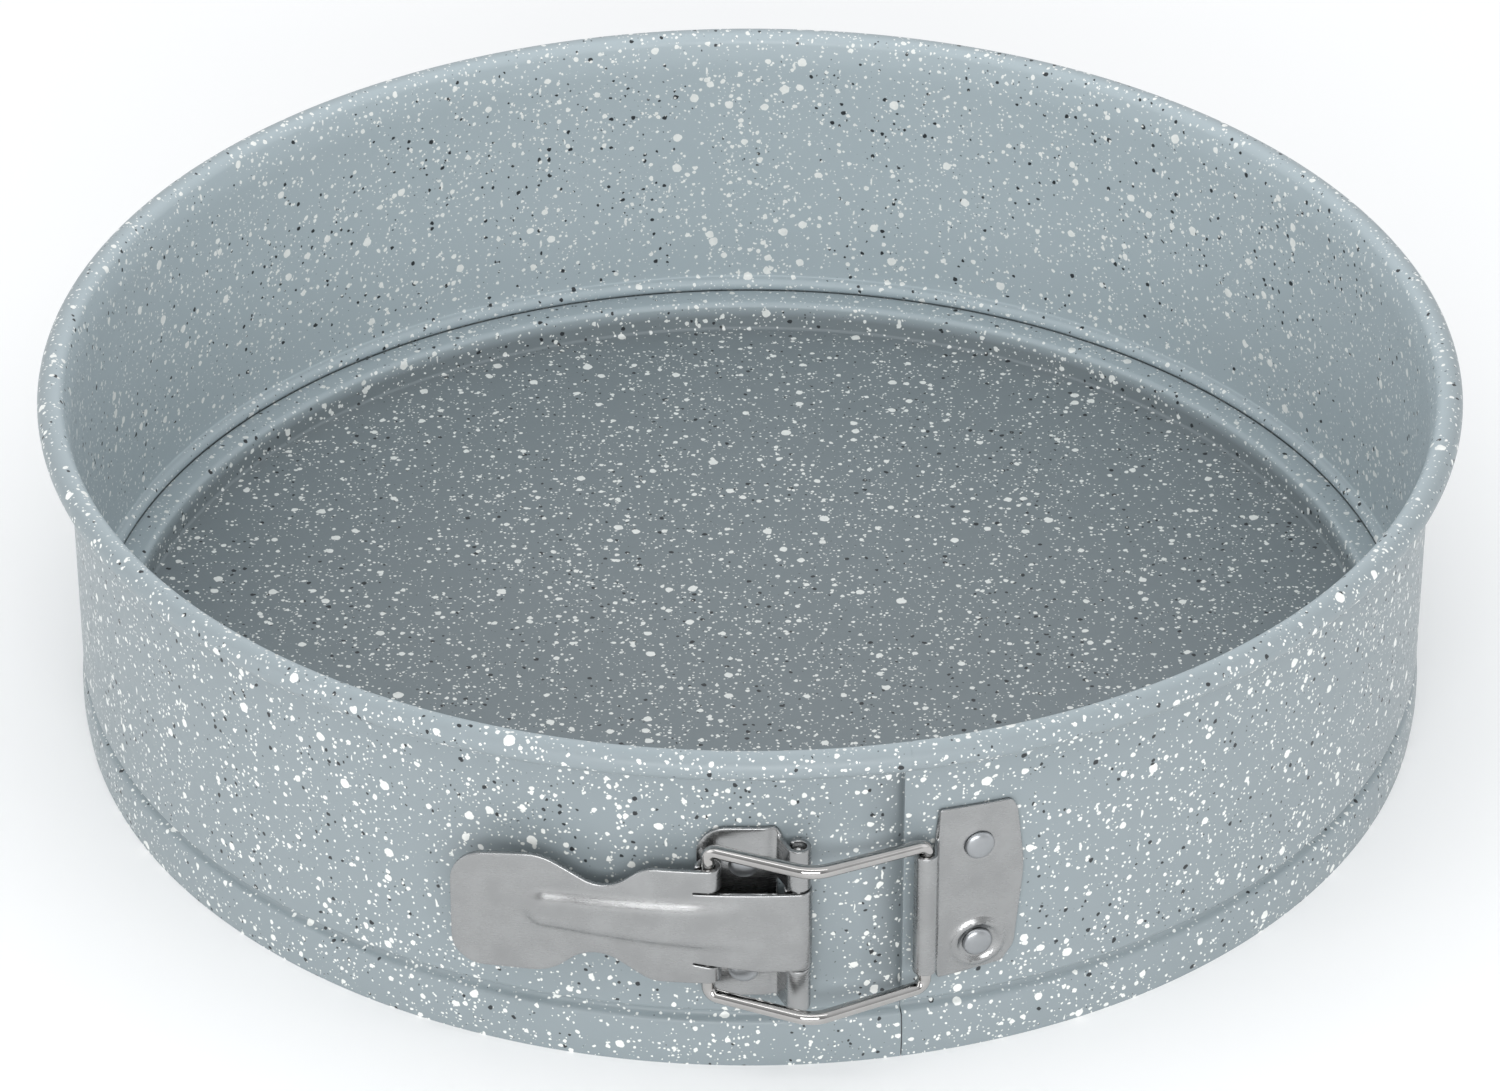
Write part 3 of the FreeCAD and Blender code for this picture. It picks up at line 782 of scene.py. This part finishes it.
# colour, roughness and how much it varies, grain along x, y, z, depth of the grain in metres
satin = steel("satin_steel", (0.375, 0.380, 0.382, 1.0), 0.27, 0.05,
              (260.0, 260.0, 3200.0), 0.00002)
rivet_steel = steel("rivet_steel", (0.40, 0.415, 0.43, 1.0), 0.36, 0.05,
                    (900.0, 900.0, 900.0), 0.00002)
pin_steel = steel("pin_steel", (0.50, 0.50, 0.50, 1.0), 0.20, 0.04,
                  (1500.0, 1500.0, 300.0), 0.00001)
polished = steel("polished_wire", (0.47, 0.46, 0.45, 1.0), 0.08, 0.03,
                 (600.0, 600.0, 600.0), 0.000008)


def fit(obj, body, node):
    """Let the piece ride its body in place of its own CAD node."""
    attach(obj, body)
    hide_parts(node)


fit(band_arc("band_back", BACK_AZ - BACK_HALF, BACK_AZ + BACK_HALF, band_coating),
    "ring_back", "ring_back")
fit(band_arc("band_right", SEAM_AZ + GAP, BACK_AZ - BACK_HALF, band_coating),
    "ring_right", "ring_right")
fit(band_arc("band_left", BACK_AZ + BACK_HALF - 360.0, SEAM_AZ - GAP, band_coating, flap=True),
    "ring_left", "ring_left")
fit(turned("base_pan", base_profile(), (0, 0, 0), (0, 0, 1), base_coating, 360, 60.0),
    "base", "base_disc")
fit(make_bracket(satin), "ring_left", "lever_bracket")
fit(make_catch(satin), "ring_right", "catch_plate")
fit(make_lever(satin), "lever", "lever")
fit(make_bail(polished), "bail", "bail")
fit(make_pin(pin_steel), "ring_left", "hinge_pin")
for rivet in RIVETS:
    side = "ring_left" if rivet.startswith("bracket") else "ring_right"
    fit(make_rivet(rivet, rivet_steel), side, rivet)


# ---- stage ------------------------------------------------------------------------------------
def make_floor():
    """Plain pale floor under the ring's foot."""
    s = Shader("pale_floor")
    tone = s.mix(s.noise(s.scaled((1.0, 1.0, 1.0)), 3.0), grey(0.86), grey(0.89))
    s.put(s.surface.inputs["Base Color"], tone)
    s.put(s.surface.inputs["Roughness"], 0.7)
    s.put(s.surface.inputs["Emission Color"], grey(1.0))
    s.put(s.surface.inputs["Emission Strength"], 0.06)
    mesh = bpy.data.meshes.new("floor")
    r, z = 6.0, FOOT_Z * MM - 0.00005
    mesh.from_pydata([(-r, -r, z), (r, -r, z), (r, r, z), (-r, r, z)], [], [(0, 1, 2, 3)])
    mesh.materials.append(s.material)
    obj = bpy.data.objects.new("floor", mesh)
    bpy.context.collection.objects.link(obj)


def softbox(name, place, size, power, target=(0.0, 0.0, 0.03)):
    data = bpy.data.lights.new(name, "AREA")
    data.shape, data.size, data.size_y, data.energy = "RECTANGLE", size[0], size[1], power
    obj = bpy.data.objects.new(name, data)
    obj.location = place
    obj.rotation_euler = (Vector(target) - Vector(place)).to_track_quat("-Z", "Y").to_euler()
    obj.visible_camera = False
    bpy.context.collection.objects.link(obj)


def make_world():
    """Even studio surround, dimmer behind the camera."""
    world = bpy.data.worlds.new("studio")
    world.use_nodes = True
    tree = world.node_tree
    place = tree.nodes.new("ShaderNodeTexCoord")
    split = tree.nodes.new("ShaderNodeSeparateXYZ")
    ramp = tree.nodes.new("ShaderNodeMapRange")
    ramp.interpolation_type = "SMOOTHSTEP"
    tree.links.new(place.outputs["Generated"], split.inputs[0])
    tree.links.new(split.outputs["Y"], ramp.inputs["Value"])
    ramp.inputs["From Min"].default_value, ramp.inputs["From Max"].default_value = -0.95, -0.2
    ramp.inputs["To Min"].default_value, ramp.inputs["To Max"].default_value = 0.35, 1.0
    back = tree.nodes["Background"]
    back.inputs["Color"].default_value = (0.97, 0.985, 1.0, 1.0)
    tree.links.new(ramp.outputs[0], back.inputs["Strength"])
    bpy.context.scene.world = world


make_floor()
make_world()
softbox("key", (0.0, -2.1, 0.75), (1.8, 0.7), 28.0)
softbox("over", (0.0, -0.50, 0.85), (1.3, 0.08), 1.5, (0.0, 0.1, 0.05))
softbox("left", (-2.0, -0.7, 0.8), (1.2, 1.2), 5.0)
softbox("right", (2.0, -0.5, 0.8), (1.2, 1.2), 2.0)

camera = bpy.data.cameras.new("camera")
camera.lens, camera.sensor_width = 147.55, 36.0
camera.clip_start, camera.clip_end = 0.05, 30.0
eye, aim = bpy.data.objects.new("camera", camera), Vector((0.0, 0.0, 0.02429))
eye.location = (0.0, -1.00981, 0.67257)
eye.rotation_euler = (aim - eye.location).to_track_quat("-Z", "Y").to_euler()
bpy.context.collection.objects.link(eye)
bpy.context.scene.camera = eye
bpy.context.scene.view_settings.view_transform = "Standard"
